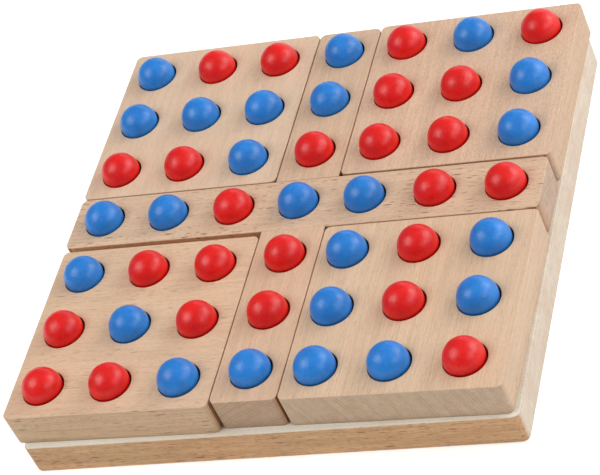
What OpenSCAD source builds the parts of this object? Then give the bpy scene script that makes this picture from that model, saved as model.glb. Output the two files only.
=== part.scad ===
// Rotating gobang board: a square base board carries a cross of three drilled bars, and a loose drilled block
// stands in each corner of the cross. Every socket holds a painted ball.
// The origin is under the middle socket of the cross, on the underside of the base board.
// X points right, Y points to the back and Z points up.

/* [Base board] */
// How much shorter each side of the base board is than the long bar
base_short = 0.5; // [-8:0.5:8]
// Thickness of the base board
base_thick = 14; // [8:0.5:20]
// How far the base board is glued to the right of the cross
base_right = 1.7; // [-5:0.1:5]
// How far the base board is glued to the front of the cross
base_front = 3.6; // [-6:0.1:6]
// How far the base board is glued out of square with the cross, in degrees
base_skew = 0.85; // [-1.5:0.05:1.5]
// Radius of the upright corners of the base board
base_corner = 3; // [2.6:0.1:6]
// Radius of the sanded edges of the base board
base_edge = 0.8; // [0.4:0.1:1.2]

/* [Bars] */
// Width of each bar
bar_wide = 27; // [24:0.5:28]
// How much longer a short bar is than the side of a block
bar_spare = 0.3; // [0:0.1:3]
// How far the back bar is glued to the right of the middle
back_bar_right = 0.2; // [-0.5:0.1:0.5]
// How far the front bar is glued to the right of the middle
front_bar_right = 0.6; // [-1:0.1:1]

/* [Blocks] */
// Side of each square block
block_side = 86.2; // [82:0.2:90]
// Thickness of the blocks and bars
block_thick = 15; // [12:0.5:20]
// Gap from the back left block to the back bar and to the long bar
back_left_gap = [0.5, 0.5]; // [0.4:0.1:3]
// Gap from the back right block to the back bar and to the long bar
back_right_gap = [0.4, 0.9]; // [0.4:0.1:3]
// Gap from the front left block to the front bar and to the long bar
front_left_gap = [0.4, 2.1]; // [0.4:0.1:3]
// Gap from the front right block to the front bar and to the long bar
front_right_gap = [0.4, 0.5]; // [0.4:0.1:3]

/* [Drilling] */
// How far the sockets of the long bar are drilled to the right and to the back of its middle
long_bar_drill = [-0.1, 0.3]; // [-1:0.1:1]
// How far the sockets of the back bar are drilled to the right and to the back of its middle
back_bar_drill = [0.2, 0.6]; // [-1:0.1:1]
// How far the sockets of the front bar are drilled to the right and to the back of its middle
front_bar_drill = [0.4, -0.1]; // [-1:0.1:1]
// How far the sockets of the back left block are drilled to the right and to the back of its middle
back_left_drill = [-0.6, -0.4]; // [-2:0.1:2]
// How far the sockets of the back right block are drilled to the right and to the back of its middle
back_right_drill = [-0.4, 0.5]; // [-2:0.1:2]
// How far the sockets of the front left block are drilled to the right and to the back of its middle
front_left_drill = [-0.5, -0.2]; // [-2:0.1:2]
// How far the sockets of the front right block are drilled to the right and to the back of its middle
front_right_drill = [-1.8, -0.3]; // [-2:0.1:2]

/* [Wood edges] */
// Radius of the upright corners of the blocks and bars
corner_round = 2.5; // [1.4:0.1:4]
// Radius of the sanded edges of the blocks and bars
edge_round = 0.4; // [0.2:0.1:0.7]

/* [Balls and sockets] */
// Diameter of a ball
ball_size = 16; // [14:0.1:16.5]
// Room around a ball in its socket
socket_room = 0.35; // [0.3:0.05:1.2]
// How far each ball has rolled to the left in its socket, as a share of the room around it
ball_roll = 0.6; // [0:0.05:0.8]
// Depth of a socket, to its flat floor
socket_deep = 7.4; // [6:0.1:8]
// Width of the bevel around a socket's rim
socket_bevel = 0.3; // [0.1:0.05:0.6]

/* [Hidden] */
$fn = 96;
// The game in play: one string a row from the back, one letter a socket from the left, R for red, B for blue
rows = ["BRRBRBR", "BBBBRRB", "RRBRRRB", "BBRBBRR", "BRRRBRB", "RBRRBRB", "RRBBBBR"];
count = len(rows);
middle = (count + 1) / 2;

// The blocks set the size of the board: a short bar runs along one block, the long bar along two
short_bar = block_side + bar_spare;
long_bar = bar_wide + 2 * short_bar;
arm_middle = (bar_wide + short_bar) / 2;
socket_pitch = short_bar / (middle - 1);
base_side = long_bar - base_short;
top_of_base = base_thick;
top_of_board = base_thick + block_thick;
socket_floor = top_of_board - socket_deep;
socket_radius = ball_size / 2 + socket_room;
block_reach = bar_wide / 2 + block_side / 2;
overshoot = 1;

beech = [0.86, 0.73, 0.60];
base_beech = [0.80, 0.64, 0.46];
red_paint = [0.84, 0.12, 0.14];
blue_paint = [0.17, 0.47, 0.80];

// Middle of a block: side is [-1 left or 1 right, -1 front or 1 back], gap is its room to the two bars
function bar_right(side) = side[1] > 0 ? back_bar_right : front_bar_right;
function block_middle(side, gap) = [
    bar_right(side) + side[0] * (block_reach + gap[0]),
    side[1] * (block_reach + gap[1])
];
back_left = block_middle([-1, 1], back_left_gap);
back_right = block_middle([1, 1], back_right_gap);
front_left = block_middle([-1, -1], front_left_gap);
front_right = block_middle([1, -1], front_right_gap);

// Middle of the drilled grid of each board, and the place of the socket in a row and column
back_left_grid = back_left + back_left_drill;
back_right_grid = back_right + back_right_drill;
front_left_grid = front_left + front_left_drill;
front_right_grid = front_right + front_right_drill;
back_bar_grid = [back_bar_right, arm_middle] + back_bar_drill;
front_bar_grid = [front_bar_right, -arm_middle] + front_bar_drill;
function long_bar_grid(column) = [sign(column - middle) * arm_middle, 0] + long_bar_drill;
function grid_of(row, column) =
    row == middle ? long_bar_grid(column)
    : column == middle ? (row < middle ? back_bar_grid : front_bar_grid)
    : row < middle ? (column < middle ? back_left_grid : back_right_grid)
    : column < middle ? front_left_grid : front_right_grid;
// Steps from the middle of a board's own grid, which lies two places from the middle of the cross
function step_of(place) = place - middle - 2 * sign(place - middle);
function socket_at(row, column) = grid_of(row, column) + socket_pitch * [step_of(column), -step_of(row)];

function paint_name(row, column) = rows[row - 1][column - 1] == "R" ? "red" : "blue";
function ball_name(row, column) = str(paint_name(row, column), "_ball_r", row, "_c", column);

BOARDS = [
    "base_board", "long_bar_board", "back_bar_board", "front_bar_board",
    "back_left_block", "back_right_block", "front_left_block", "front_right_block"
];
BALLS = [for (row = [1 : count], column = [1 : count]) ball_name(row, column)];

// Upright section of a board: a rectangle standing on the X axis, with its four corners sanded round
module board_section(wide, thick, edge) {
    translate([-wide / 2, edge]) square([wide, thick - 2 * edge]);
    translate([-wide / 2 + edge, 0]) square([wide - 2 * edge, thick]);
    for (x = [-1, 1], y = [edge, thick - edge])
        translate([x * (wide / 2 - edge), y]) circle(edge);
}

// Upright round corner of a board: the same sanded edges, turned about the corner's own axis
module corner_post(radius, thick, edge) {
    rotate_extrude() {
        square([radius - edge, thick]);
        translate([0, edge]) square([radius, thick - 2 * edge]);
        for (y = [edge, thick - edge])
            translate([radius - edge, y]) circle(edge);
    }
}

// Flat board with round upright corners and sanded edges, standing on z = 0 about its middle
module sanded_board(wide, deep, thick, corner, edge) {
    rotate([90, 0, 0])
        linear_extrude(deep - 2 * corner, center = true) board_section(wide, thick, edge);
    rotate([90, 0, 90])
        linear_extrude(wide - 2 * corner, center = true) board_section(deep, thick, edge);
    for (x = [-1, 1], y = [-1, 1])
        translate([x * (wide / 2 - corner), y * (deep / 2 - corner), 0])
            corner_post(corner, thick, edge);
}

// Flat-bottomed socket with a bevelled rim, cut down from the playing surface
module socket_cut(row, column) {
    translate(concat(socket_at(row, column), socket_floor)) {
        cylinder(h = socket_deep + overshoot, r = socket_radius);
        translate([0, 0, socket_deep - socket_bevel])
            cylinder(h = 2 * socket_bevel, r1 = socket_radius, r2 = socket_radius + 2 * socket_bevel);
    }
}

// Square block about its middle, drilled where its rows and columns fall
module drilled_block(centre, row_span, column_span) {
    color(beech) difference() {
        translate(concat(centre, top_of_base))
            sanded_board(block_side, block_side, block_thick, corner_round, edge_round);
        for (row = row_span, column = column_span) socket_cut(row, column);
    }
}

// Bar that is round at its far end and sawn square at y = 0, where it butts against the long bar
module butted_bar() {
    difference() {
        sanded_board(bar_wide, 2 * short_bar, block_thick, corner_round, edge_round);
        translate([-bar_wide, -2 * short_bar, -block_thick])
            cube([2 * bar_wide, 2 * short_bar, 3 * block_thick]);
    }
}

// Short bar on one side of the long bar, drilled where its rows fall
module short_bar_board(right, turn, row_span) {
    color(beech) difference() {
        translate([right, 0, top_of_base]) rotate(turn)
            translate([0, bar_wide / 2, 0]) butted_bar();
        for (row = row_span) socket_cut(row, middle);
    }
}

module base_board() {
    color(base_beech) translate([base_right, -base_front, 0]) rotate(base_skew)
        sanded_board(base_side, base_side, base_thick, base_corner, base_edge);
}

module long_bar_board() {
    color(beech) difference() {
        translate([0, 0, top_of_base])
            sanded_board(long_bar, bar_wide, block_thick, corner_round, edge_round);
        for (column = [1 : count]) socket_cut(middle, column);
    }
}

module back_bar_board() {
    short_bar_board(back_bar_right, 0, [1 : middle - 1]);
}

module front_bar_board() {
    short_bar_board(front_bar_right, 180, [middle + 1 : count]);
}

module back_left_block() {
    drilled_block(back_left, [1 : middle - 1], [1 : middle - 1]);
}

module back_right_block() {
    drilled_block(back_right, [1 : middle - 1], [middle + 1 : count]);
}

module front_left_block() {
    drilled_block(front_left, [middle + 1 : count], [1 : middle - 1]);
}

module front_right_block() {
    drilled_block(front_right, [middle + 1 : count], [middle + 1 : count]);
}

// Painted ball, resting on the floor of its socket
module ball(row, column) {
    color(paint_name(row, column) == "red" ? red_paint : blue_paint)
        translate(concat(socket_at(row, column), socket_floor + ball_size / 2))
            translate([-ball_roll * socket_room, 0, 0]) sphere(d = ball_size);
}

base_board();
long_bar_board();
back_bar_board();
front_bar_board();
back_left_block();
back_right_block();
front_left_block();
front_right_block();
for (row = [1 : count], column = [1 : count])
    ball(row, column);
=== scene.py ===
import math

import bmesh
import bpy
from mathutils import Matrix, Quaternion, Vector


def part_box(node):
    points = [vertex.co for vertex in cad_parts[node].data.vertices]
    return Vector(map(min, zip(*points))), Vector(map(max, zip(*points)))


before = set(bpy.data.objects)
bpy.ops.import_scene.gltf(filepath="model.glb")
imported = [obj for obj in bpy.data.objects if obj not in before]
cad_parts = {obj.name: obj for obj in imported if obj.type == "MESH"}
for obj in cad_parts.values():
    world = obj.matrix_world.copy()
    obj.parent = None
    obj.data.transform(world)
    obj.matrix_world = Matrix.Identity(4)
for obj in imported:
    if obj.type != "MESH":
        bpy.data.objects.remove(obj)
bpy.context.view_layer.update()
scene = bpy.context.scene

# Base board: one square plank of plain-sawn beech, planed, with its corners and edges sanded round.
# The cross is glued on it a little out of square, so the plank shows as a ledge at the front and right.
# Its sawn long edges have gone browner than its face and ends, which are pale and chalky.
BASE_SIDE = 199.5
BASE_THICK = 14
BASE_SKEW = math.radians(0.85)
MM = 1000
NOISE_LOW, NOISE_HIGH = 0.3, 0.7


def put(tree, kind, feeds=None, **settings):
    """Add a shader node, with its settings and what goes into each socket, and return it."""
    made = tree.nodes.new("ShaderNode" + kind)
    for name, value in settings.items():
        setattr(made, name, value)
    for socket, value in (feeds or {}).items():
        if isinstance(value, bpy.types.NodeSocket):
            tree.links.new(value, made.inputs[socket])
        else:
            made.inputs[socket].default_value = value
    return made


def reckon(tree, operation, first, second=0.0):
    """A sum on one or two values."""
    return put(tree, "Math", {0: first, 1: second}, operation=operation).outputs[0]


def fade(tree, value, low, high, start=0.0, stop=1.0):
    """A smooth step from start to stop as the value goes from low to high."""
    feeds = {"Value": value, "From Min": low, "From Max": high, "To Min": start, "To Max": stop}
    return put(tree, "MapRange", feeds, interpolation_type="SMOOTHSTEP").outputs[0]


def stain(tree, amount, below, above, mode="MIX"):
    """One colour laid over another by an amount."""
    mixed = put(tree, "Mix", {0: amount, 6: below, 7: above}, data_type="RGBA", blend_type=mode)
    return mixed.outputs[2]


def stretched(tree, place, along, across, deep=None):
    """The place in the trunk, measured in cells that are so long, so wide and so deep, in millimetres.
    Where no depth is given, they are as deep as wide."""
    cell = (1 / along, 1 / across, 1 / (deep or across))
    return put(tree, "VectorMath", {0: place, 1: cell}, operation="MULTIPLY").outputs[0]


def noise(tree, place, scale=1.0, detail=2.0, roughness=0.5):
    """Noise from zero to one at a place."""
    feeds = {"Vector": place, "Scale": scale, "Detail": detail, "Roughness": roughness}
    return put(tree, "TexNoise", feeds).outputs["Fac"]


def spread(tree, value, start=0.0, stop=1.0):
    """Noise, spread from start to stop over the range that most of it lies in."""
    return fade(tree, value, NOISE_LOW, NOISE_HIGH, start, stop)


def new_group(name, takes, gives):
    """A shader node group with named sockets; takes holds name, type and usual value."""
    tree = bpy.data.node_groups.new(name, "ShaderNodeTree")
    for socket, kind, usual in takes:
        made = tree.interface.new_socket(socket, in_out="INPUT", socket_type="NodeSocket" + kind)
        if usual is not None:
            made.default_value = usual
    for socket, kind in gives:
        tree.interface.new_socket(socket, in_out="OUTPUT", socket_type="NodeSocket" + kind)
    return tree, tree.nodes.new("NodeGroupInput").outputs, tree.nodes.new("NodeGroupOutput").inputs


def beech_grain_group():
    """Beech through and through: yearly rings about the trunk, fibre streaks, ray flecks and pores.
    Place is in millimetres with X up the trunk and the pith on the X axis; End is one on end grain."""
    tree, given, made = new_group(
        "beech_grain",
        [
            ("Place", "Vector", None),
            ("End", "Float", 0.0),
            ("Ring Width", "Float", 1.3),
            ("Ring Strength", "Float", 0.35),
            ("Fleck Strength", "Float", 0.5),
            ("Streak Strength", "Float", 0.2),
            ("Mottle Strength", "Float", 0.03),
            ("Early Wood", "Color", (0.70, 0.49, 0.33, 1)),
            ("Late Wood", "Color", (0.58, 0.37, 0.23, 1)),
            ("Ray", "Color", (0.30, 0.17, 0.09, 1)),
        ],
        [("Color", "Color"), ("Roughness", "Float"), ("Height", "Float")],
    )
    place = given["Place"]
    long_grain = reckon(tree, "SUBTRACT", 1.0, given["End"])
    # Yearly rings, bent by slow wander up the trunk: each darkens towards its late wood, then starts anew.
    # They are clear in some places and faint in others, and strongest on end grain
    wander_far, quiver_far, late_power, end_gain = 5.0, 0.45, 2.2, 2.2
    across = put(tree, "VectorMath", {0: place, 1: (0, 1, 1)}, operation="MULTIPLY").outputs[0]
    radius = put(tree, "VectorMath", {0: across}, operation="LENGTH").outputs["Value"]
    wander = noise(tree, stretched(tree, place, along=110, across=26), detail=2)
    quiver = noise(tree, stretched(tree, place, along=16, across=2.2), detail=2)
    radius = reckon(tree, "ADD", radius, reckon(tree, "MULTIPLY", wander, wander_far))
    radius = reckon(tree, "ADD", radius, reckon(tree, "MULTIPLY", quiver, quiver_far))
    years = reckon(tree, "DIVIDE", radius, given["Ring Width"])
    late = reckon(tree, "POWER", reckon(tree, "FRACT", years), late_power)
    which_year = put(tree, "CombineXYZ", {0: reckon(tree, "FLOOR", years)}).outputs[0]
    each_year = noise(tree, which_year, scale=3.7, detail=0)
    late = reckon(tree, "MULTIPLY", late, spread(tree, each_year, start=0.1))
    clear = noise(tree, stretched(tree, place, along=80, across=20), detail=1)
    shown = reckon(tree, "MAXIMUM", fade(tree, clear, low=0.35, high=0.65, start=0.15), given["End"])
    ring = reckon(tree, "MULTIPLY", late, reckon(tree, "MULTIPLY", shown, given["Ring Strength"]))
    ring = reckon(tree, "MULTIPLY", ring, fade(tree, given["End"], 0.0, 1.0, start=1.0, stop=end_gain))
    colour = stain(tree, ring, given["Early Wood"], given["Late Wood"])
    # Fibre streaks up the trunk: broad soft bands, and fine ones as wide as a hair or two. A fine mottle
    # and large reddish clouds lie over them
    reddish = (0.62, 0.40, 0.28, 1)
    band = noise(tree, stretched(tree, place, along=70, across=3.2), detail=3)
    streak = noise(tree, stretched(tree, place, along=17, across=0.42), detail=3, roughness=0.6)
    shade = reckon(tree, "ADD", spread(tree, band, -0.4, 0.4), spread(tree, streak, -0.6, 0.6))
    shade = reckon(tree, "MULTIPLY", shade, given["Streak Strength"])
    mottle = noise(tree, stretched(tree, place, along=1.3, across=0.7), detail=1)
    mottle = reckon(tree, "MULTIPLY", spread(tree, mottle, -1.0, 1.0), given["Mottle Strength"])
    shade = reckon(tree, "ADD", shade, mottle)
    tone = put(tree, "HueSaturation", {"Color": colour, "Value": reckon(tree, "ADD", shade, 1.0)})
    cloud = noise(tree, stretched(tree, place, along=50, across=14), detail=2)
    colour = stain(tree, fade(tree, cloud, low=0.35, high=0.7, stop=0.25), tone.outputs[0], reddish)
    # Ray flecks: dark dashes along the fibre, thick in some patches and thin in others. They have three
    # sizes: length, width, depth, how many places are left bare, and how dark they are
    fleck_sizes = (
        (8.5, 1.2, 1.5, 0.4, 1.0),
        (5.0, 0.8, 1.0, 0.35, 0.9),
        (2.6, 0.55, 0.7, 0.3, 0.6),
    )
    flecks = None
    for along, wide, deep, bare, dark in fleck_sizes:
        cells = stretched(tree, place, along, wide, deep)
        nearest = put(tree, "TexVoronoi", {"Vector": cells, "Scale": 1.0, "Randomness": 1.0})
        chosen = put(tree, "SeparateColor", {0: nearest.outputs["Color"]}).outputs[0]
        dash = fade(tree, nearest.outputs["Distance"], low=0.12, high=0.32, start=dark, stop=0.0)
        dash = reckon(tree, "MULTIPLY", dash, fade(tree, chosen, low=bare, high=bare + 0.5))
        flecks = dash if flecks is None else reckon(tree, "MAXIMUM", flecks, dash)
    patch = noise(tree, stretched(tree, place, along=45, across=8), detail=1)
    flecks = reckon(tree, "MULTIPLY", flecks, fade(tree, patch, low=0.35, high=0.65, start=0.45))
    flecks = reckon(tree, "MULTIPLY", flecks, reckon(tree, "MULTIPLY", long_grain, given["Fleck Strength"]))
    colour = stain(tree, flecks, colour, given["Ray"])
    # Open pores: hairlines along the fibre, pin pricks on end grain. Streaky wood shows them more
    pore_least, pore_gain = 0.06, 1.4
    pore = noise(tree, stretched(tree, place, along=2.6, across=0.26), detail=1)
    pore_dark = reckon(tree, "MULTIPLY", given["Streak Strength"], pore_gain)
    pore_dark = reckon(tree, "ADD", pore_dark, pore_least)
    pores = reckon(tree, "MULTIPLY", fade(tree, pore, low=0.56, high=0.72), pore_dark)
    colour = stain(tree, pores, colour, given["Ray"])
    tree.links.new(colour, made["Color"])
    # Streaks and flecks are a little duller than the wood between, and pores and flecks lie a little deeper
    dull = reckon(tree, "ADD", 0.52, reckon(tree, "MULTIPLY", streak, 0.14))
    tree.links.new(reckon(tree, "ADD", dull, reckon(tree, "MULTIPLY", flecks, 0.1)), made["Roughness"])
    sunk = reckon(tree, "ADD", pores, reckon(tree, "MULTIPLY", flecks, 0.4))
    rise = reckon(tree, "SUBTRACT", reckon(tree, "MULTIPLY", streak, 0.5), sunk)
    tree.links.new(rise, made["Height"])
    return tree


def face_mask_group():
    """One on an upright face of a board, from the distance to the board's middle and half its size.
    Reach is how far behind the face its tone goes round the corners, in full for the first half of it.
    Upright is zero on top and underneath."""
    tree, given, made = new_group(
        "face_mask",
        [
            ("Distance", "Float", 0.0),
            ("Half", "Float", 0.0),
            ("Reach", "Float", 0.6),
            ("Upright", "Float", 1.0),
        ],
        [("Mask", "Float")],
    )
    behind = reckon(tree, "SUBTRACT", given["Half"], given["Distance"])
    share = reckon(tree, "DIVIDE", behind, given["Reach"])
    mask = fade(tree, share, low=0.55, high=1.0, start=1.0, stop=0.0)
    tree.links.new(reckon(tree, "MULTIPLY", mask, given["Upright"]), made["Mask"])
    return tree


beech_grain = beech_grain_group()
face_mask = face_mask_group()


def face(tree, distance, half, reach, upright):
    """Mask of the upright face that is half a board's size from its middle."""
    feeds = {"Distance": distance, "Half": half, "Reach": reach, "Upright": upright}
    return put(tree, "Group", feeds, node_tree=face_mask).outputs["Mask"]


# What bars and blocks have besides their own tones: painted shade on their faces at a joint, a warm painted
# shade and a darker painted shade round the corners of those faces, and painted shade on the socket walls.
# Depths and distances are in millimetres.
JOINT_SHADE = (1.0, 0.88, 0.74, 1)
JOINT_SHADE_DEPTH = 0.05
CORNER_SHADE = (0.98, 0.85, 0.71, 1)
CORNER_DEEP_SHADE = (0.36, 0.27, 0.20, 1)
CORNER_LONG = 3.2
SOCKET_SHADE = (0.42, 0.27, 0.17, 1)
RIM_STARTS, RIM_ENDS = 0.06, 0.2
SOCKETS_START, SOCKETS_FULL = 2.6, 2.9
TOP_STARTS, TOP_ENDS = 0.1, 0.35
WOOD_SHEEN = 0.32
GRAIN_DEEP = 0.00015


def beech(
    name, middle, turn, half, tones, trunk, ring_wide, rings, flecks, streaks,
    mottle=0.03, calm=1.0, at_ends=1.0, end_reach=1.0, side_reach=1.0, gaps=(),
):
    """Material of one beech board.
    middle is its place, turn brings its grain to X, and half is half its length, width and thickness.
    tones are its face, late wood, ray, end grain and long edge colours; end_reach and side_reach are how
    far the last two go round its corners. trunk is where in the tree it was sawn. rings, flecks, streaks
    and mottle are the strength of its figure, calm is how much of it shows on top, and at_ends on its ends.
    gaps are its faces at a joint: an axis, a side, and how far round their corners the dark and then the
    warm painted shade go."""
    plain, late, ray, end, edge = [(*tone, 1) for tone in tones]
    material = bpy.data.materials.new(name)
    material.use_nodes = True
    tree = material.node_tree
    shader = tree.nodes["Principled BSDF"]
    where = put(tree, "TexCoord").outputs["Object"]
    centred = put(tree, "VectorMath", {0: where, 1: middle}, operation="SUBTRACT").outputs[0]
    turned = {"Vector": centred, "Rotation": (0, 0, turn), "Scale": (MM, MM, MM)}
    own = put(tree, "Mapping", turned).outputs[0]
    axes = put(tree, "SeparateXYZ", {0: own}).outputs
    from_middle = {axis: reckon(tree, "ABSOLUTE", axes[axis]) for axis in "XYZ"}
    extent = dict(zip("XYZ", half))
    upright = fade(tree, from_middle["Z"], half[2] - TOP_ENDS, half[2] - TOP_STARTS, 1.0, 0.0)
    ends = face(tree, from_middle["X"], extent["X"], end_reach, upright)
    sides = face(tree, from_middle["Y"], extent["Y"], side_reach, upright)
    figure = fade(tree, upright, 0.0, 1.0, calm, 1.0)
    figure = reckon(tree, "MULTIPLY", figure, fade(tree, ends, 0.0, 1.0, 1.0, at_ends))
    wood = {
        "Place": put(tree, "VectorMath", {0: own, 1: trunk}, operation="ADD").outputs[0],
        "End": ends,
        "Ring Width": ring_wide,
        "Ring Strength": reckon(tree, "MULTIPLY", figure, rings),
        "Fleck Strength": reckon(tree, "MULTIPLY", figure, flecks),
        "Streak Strength": reckon(tree, "MULTIPLY", figure, streaks),
        "Mottle Strength": mottle,
        "Early Wood": plain,
        "Late Wood": late,
        "Ray": ray,
    }
    grain = put(tree, "Group", wood, node_tree=beech_grain).outputs
    colour = stain(tree, sides, grain["Color"], edge, "MULTIPLY")
    colour = stain(tree, ends, colour, end, "MULTIPLY")
    for axis, side, dark_shade_reach, shade_reach in gaps:
        along = "Y" if axis == "X" else "X"
        towards = reckon(tree, "MULTIPLY", axes[axis], side)
        # Painted shade: the face at the joint is darkened as the gap between the parts would shade it
        joint_shaded = face(tree, towards, extent[axis], JOINT_SHADE_DEPTH, upright)
        colour = stain(tree, joint_shaded, colour, JOINT_SHADE, "MULTIPLY")
        # Painted shade round the corners of the joint face: a warm one reaching further, then a darker one
        # close in
        for reach, tone in ((shade_reach, CORNER_SHADE), (dark_shade_reach, CORNER_DEEP_SHADE)):
            beside = face(tree, towards, extent[axis], reach, upright)
            corner = face(tree, from_middle[along], extent[along], CORNER_LONG, beside)
            colour = stain(tree, corner, colour, tone, "MULTIPLY")
    # The sockets are all that lies below the top and well inside the board; their walls are painted darker,
    # a painted shade in the hollows
    drilled = fade(tree, from_middle["Z"], half[2] - RIM_ENDS, half[2] - RIM_STARTS, 1.0, 0.0)
    for axis in "XY":
        from_edge = reckon(tree, "SUBTRACT", extent[axis], from_middle[axis])
        drilled = reckon(tree, "MULTIPLY", drilled, fade(tree, from_edge, SOCKETS_START, SOCKETS_FULL))
    colour = stain(tree, drilled, colour, SOCKET_SHADE, "MULTIPLY")
    tree.links.new(colour, shader.inputs["Base Color"])
    tree.links.new(grain["Roughness"], shader.inputs["Roughness"])
    bump = put(tree, "Bump", {"Height": grain["Height"], "Strength": 0.3, "Distance": GRAIN_DEEP})
    tree.links.new(bump.outputs["Normal"], shader.inputs["Normal"])
    shader.inputs["Specular IOR Level"].default_value = WOOD_SHEEN
    return material


def dress(node, material):
    """Give a CAD node its finish."""
    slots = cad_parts[node].data.materials
    slots.clear()
    slots.append(material)


def middle_of(node):
    """Middle of a CAD node's box, in metres."""
    low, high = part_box(node)
    return (low + high) / 2


base_wood = beech(
    "base_plank_beech",
    middle_of("base_board"),
    turn=-BASE_SKEW,
    half=(BASE_SIDE / 2, BASE_SIDE / 2, BASE_THICK / 2),
    tones=(
        (0.775, 0.735, 0.63),
        (0.63, 0.51, 0.37),
        (0.34, 0.17, 0.07),
        (0.745, 0.68, 0.645),
        (0.725, 0.47, 0.28),
    ),
    trunk=(240, 12, 700),
    ring_wide=1.7,
    rings=0.5,
    flecks=0.95,
    streaks=0.27,
    calm=0.25,
    at_ends=0.5,
    end_reach=0.5,
    side_reach=2.0,
)
dress("base_board", base_wood)

# Cross: a long bar right across the board and two short bars butted against it, sawn from one beech
# batten, drilled with a row of flat-bottomed sockets, sanded, and glued down on the base board.
# Each bar's grain runs along it, so its outer ends are darker end grain; the long bar's sides are browner,
# and the sides of all three carry painted shade where they meet the blocks.
ACROSS = 0.0
TO_THE_BACK = math.radians(-90)
RAY = (0.27, 0.15, 0.08)
DEEP_RAY = (0.20, 0.075, 0.025)
END_GRAIN = (0.765, 0.79, 0.81)
BARE_EDGE = (1, 1, 1)
BROWN_EDGE = (1.0, 0.86, 0.73)
LONG_TONES = ((0.67, 0.47, 0.32), (0.53, 0.34, 0.21), DEEP_RAY, (0.64, 0.65, 0.70), BROWN_EDGE)
BAR_TONES = ((0.64, 0.45, 0.305), (0.53, 0.34, 0.21), RAY, END_GRAIN, BARE_EDGE)
ROSY_TONES = ((0.68, 0.46, 0.31), (0.50, 0.30, 0.19), RAY, (0.68, 0.68, 0.665), BARE_EDGE)
BAR_DARK_SHADE_REACH = 0.68
BAR_SHADE_REACH = 1.5
LONG_BAR_SHADE_REACH = 6.0


def dress_drilled(node, turn, **figure):
    """Give a bar or a block its own beech, with the grain along X or, turned, along Y."""
    low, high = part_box(node)
    size = (high - low) * MM / 2
    half = (size.x, size.y, size.z) if turn == ACROSS else (size.y, size.x, size.z)
    dress(node, beech(node + "_beech", middle_of(node), turn, half, **figure))


def bar_gaps(shade_reach):
    """A bar's two long sides, with painted shade reaching so far round the corners of the first one."""
    return ("Y", -1, BAR_DARK_SHADE_REACH, shade_reach), ("Y", 1, BAR_DARK_SHADE_REACH, BAR_SHADE_REACH)


dress_drilled(
    "long_bar_board", ACROSS, tones=LONG_TONES, trunk=(20, 30, 90), gaps=bar_gaps(LONG_BAR_SHADE_REACH),
    ring_wide=2.2, rings=0.25, flecks=1.0, streaks=0.14, at_ends=1.7,
)
dress_drilled(
    "back_bar_board", TO_THE_BACK, tones=BAR_TONES, trunk=(410, 30, 60), gaps=bar_gaps(BAR_SHADE_REACH),
    ring_wide=1.5, rings=0.3, flecks=0.25, streaks=0.12,
)
dress_drilled(
    "front_bar_board", TO_THE_BACK, tones=ROSY_TONES, trunk=(700, 32, 62), gaps=bar_gaps(BAR_SHADE_REACH),
    ring_wide=1.3, rings=0.32, flecks=0.25, streaks=0.12, calm=0.85, at_ends=1.3,
)

# Blocks: four square beech blocks of the bars' thickness, each drilled three by three, sanded, and laid
# loose in the corners of the cross so that a player can lift one out and give it a quarter turn.
# Only the front left one lies with its grain across the board; it shows long grain to the front.
PALE_TONES = ((0.70, 0.51, 0.36), (0.58, 0.38, 0.24), RAY, END_GRAIN, (0.86, 0.85, 0.83))
BROWNER_TONES = ((0.66, 0.46, 0.32), (0.55, 0.35, 0.22), RAY, END_GRAIN, (0.755, 0.745, 0.71))
FLECKED_TONES = ((0.69, 0.48, 0.32), (0.58, 0.37, 0.22), RAY, END_GRAIN, (0.815, 0.80, 0.735))
STRIPED_TONES = ((0.69, 0.49, 0.33), (0.54, 0.32, 0.17), RAY, END_GRAIN, (0.775, 0.785, 0.795))
BLOCK_DARK_SHADE_REACH = 0.05
BLOCK_SHADE_REACH = 0.6


def block_gaps(along, across):
    """A block's two faces at the cross, by their side along its grain and across it."""
    return ("X", along, BLOCK_DARK_SHADE_REACH, BLOCK_SHADE_REACH), ("Y", across, BLOCK_DARK_SHADE_REACH, BLOCK_SHADE_REACH)


dress_drilled(
    "back_left_block", TO_THE_BACK, tones=PALE_TONES, trunk=(130, 50, 100), gaps=block_gaps(-1, -1),
    ring_wide=1.6, rings=0.25, flecks=0.3, streaks=0.14, calm=0.6,
)
dress_drilled(
    "back_right_block", TO_THE_BACK, tones=BROWNER_TONES, trunk=(560, -56, 90), gaps=block_gaps(-1, 1),
    ring_wide=1.5, rings=0.25, flecks=0.3, streaks=0.16, mottle=0.07, calm=0.8,
)
dress_drilled(
    "front_left_block", ACROSS, tones=FLECKED_TONES, trunk=(300, 8, 105), gaps=block_gaps(1, 1),
    ring_wide=2.4, rings=0.35, flecks=0.85, streaks=0.18, calm=0.6,
)
dress_drilled(
    "front_right_block", TO_THE_BACK, tones=STRIPED_TONES, trunk=(900, -142, 49), gaps=block_gaps(1, 1),
    ring_wide=1.25, rings=0.45, flecks=0.3, streaks=0.14, calm=0.8,
)

# Balls: turned wooden balls, dipped in red or blue paint that dried to an uneven satin gloss, one lying
# loose in each socket. The thick paint shows faint waves, and it is a little thin here and there.
RED = ((0.79, 0.003, 0.002), (0.69, 0.002, 0.001))
BLUE = ((0.014, 0.217, 0.68), (0.010, 0.175, 0.57))
PAINT_SHEEN = 0.5
PAINT_DEEP = 0.0004
PEEL_SHARE = 0.07


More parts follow.
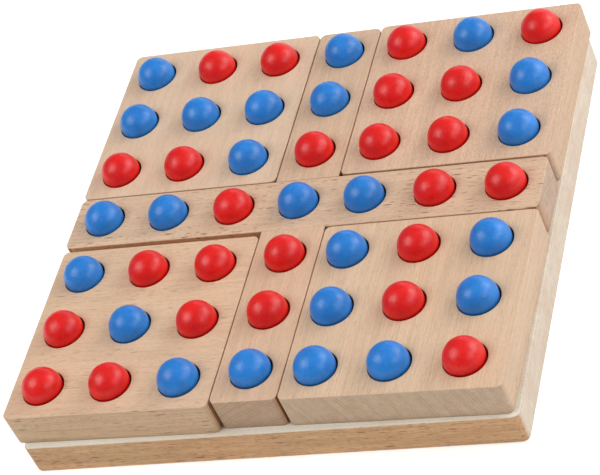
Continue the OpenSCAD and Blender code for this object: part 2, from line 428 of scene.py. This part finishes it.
def ball_paint(name, tones):
    """Dipped paint in a full and a deeper tone."""
    full, deep = [(*tone, 1) for tone in tones]
    material = bpy.data.materials.new(name)
    material.use_nodes = True
    tree = material.node_tree
    shader = tree.nodes["Principled BSDF"]
    where = put(tree, "TexCoord").outputs["Object"]
    place = put(tree, "Mapping", {"Vector": where, "Scale": (MM, MM, MM)}).outputs[0]
    cloud = noise(tree, place, scale=0.16, detail=2)
    speck = noise(tree, place, scale=1.1, detail=3, roughness=0.6)
    colour = stain(tree, spread(tree, cloud), full, deep)
    colour = put(tree, "HueSaturation", {"Color": colour, "Value": spread(tree, speck, 0.93, 1.07)})
    tree.links.new(colour.outputs[0], shader.inputs["Base Color"])
    gloss = fade(tree, speck, low=0.3, high=0.75, start=0.34, stop=0.43)
    tree.links.new(gloss, shader.inputs["Roughness"])
    wave = noise(tree, place, scale=0.33, detail=2, roughness=0.45)
    peel = noise(tree, place, scale=1.7, detail=2, roughness=0.5)
    height = reckon(tree, "ADD", wave, reckon(tree, "MULTIPLY", peel, PEEL_SHARE))
    bump = put(tree, "Bump", {"Height": height, "Strength": 0.5, "Distance": PAINT_DEEP})
    tree.links.new(bump.outputs["Normal"], shader.inputs["Normal"])
    shader.inputs["Specular IOR Level"].default_value = PAINT_SHEEN
    return material


paints = {"red": ball_paint("red_dip_paint", RED), "blue": ball_paint("blue_dip_paint", BLUE)}
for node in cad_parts:
    if "_ball_" in node:
        dress(node, paints[node.split("_")[0]])

# Table: a wide white sheet of matt plastic under the game, far larger than the picture and lit faintly
# from below. It is only where the game stands, and no part of it.
SHEET = 3.0
SHEET_GLOW = 0.30
sheet_shape = bmesh.new()
bmesh.ops.create_grid(sheet_shape, x_segments=1, y_segments=1, size=SHEET)
sheet_mesh = bpy.data.meshes.new("white_sheet")
sheet_shape.to_mesh(sheet_mesh)
sheet_shape.free()
sheet = bpy.data.objects.new("white_sheet", sheet_mesh)
scene.collection.objects.link(sheet)
matt_white = bpy.data.materials.new("matt_white_board")
matt_white.use_nodes = True
sheet_tree = matt_white.node_tree
sheet_shader = sheet_tree.nodes["Principled BSDF"]
fibre = noise(sheet_tree, put(sheet_tree, "TexCoord").outputs["Object"], scale=900, detail=3)
white = stain(sheet_tree, fibre, (0.95, 0.95, 0.95, 1), (0.97, 0.97, 0.97, 1))
sheet_tree.links.new(white, sheet_shader.inputs["Base Color"])
sheet_tree.links.new(white, sheet_shader.inputs["Emission Color"])
sheet_shader.inputs["Emission Strength"].default_value = SHEET_GLOW
sheet_shader.inputs["Roughness"].default_value = 0.9
sheet_shader.inputs["Specular IOR Level"].default_value = 0.1
sheet_mesh.materials.append(matt_white)

# Light: a white room, a long low soft box to the right, a small one beyond it to the back, one to the left
# in front, a long low one behind and a wide one overhead. The first two make the right one of the two soft
# spots on each ball, and the third makes the left one.
ROOM_WHITE = (1.0, 0.99, 0.98, 1)
ROOM_STRENGTH = 0.265
world = bpy.data.worlds.new("white_room")
scene.world = world
world.use_nodes = True
room = world.node_tree.nodes["Background"].inputs
room["Color"].default_value = ROOM_WHITE
room["Strength"].default_value = ROOM_STRENGTH
# Name, direction and distance from the board, size, lean in degrees, watts, and whether the paint mirrors it
SOFT_BOXES = (
    ("right_soft_box", (0.866, 0.120, 0.485), 1.1, (1.75, 0.46), -12, 7.1, True),
    ("right_back_soft_box", (0.635, 0.555, 0.537), 1.1, (0.52, 0.5), -10, 2.6, True),
    ("left_soft_box", (-0.52, -0.29, 0.80), 1.1, (0.66, 0.62), 0, 6.2, True),
    ("back_soft_box", (0.25, 0.93, 0.27), 1.3, (1.6, 0.5), 0, 2.8, True),
    ("overhead_soft_box", (0.15, 0.30, 0.94), 1.4, (1.2, 1.2), 0, 2.4, False),
)
for name, towards, distance, size, lean, power, mirrored in SOFT_BOXES:
    lamp = bpy.data.lights.new(name, "AREA")
    lamp.shape = "RECTANGLE"
    lamp.size, lamp.size_y = size
    lamp.energy = power
    holder = bpy.data.objects.new(name, lamp)
    holder.location = Vector(towards).normalized() * distance
    facing = Vector(towards).to_track_quat("Z", "Y") @ Quaternion((0, 0, 1), math.radians(lean))
    holder.rotation_euler = facing.to_euler()
    holder.visible_glossy = mirrored
    scene.collection.objects.link(holder)

# Camera: a long lens held above the front right corner and rolled, as the picture was taken. Its place
# and the directions of its right, top and back were fitted to the balls in the photograph.
PICTURE_WIDE = 600
FOCAL_PIXELS = 2424.15
PLACE = Vector((0.372713, -0.625179, 0.636067))
RIGHT = Vector((0.915625, 0.216124, -0.339000))
UP = Vector((0.079704, 0.728893, 0.679973))
BACK = Vector((0.394053, -0.649620, 0.650166))
camera = bpy.data.cameras.new("camera")
camera.sensor_width = 36
camera.lens = FOCAL_PIXELS / PICTURE_WIDE * camera.sensor_width
stand = bpy.data.objects.new("camera", camera)
aim = Matrix((RIGHT, UP, BACK)).transposed().to_4x4()
stand.matrix_world = Matrix.Translation(PLACE) @ aim
scene.collection.objects.link(stand)
scene.camera = stand
scene.view_settings.view_transform = "Standard"
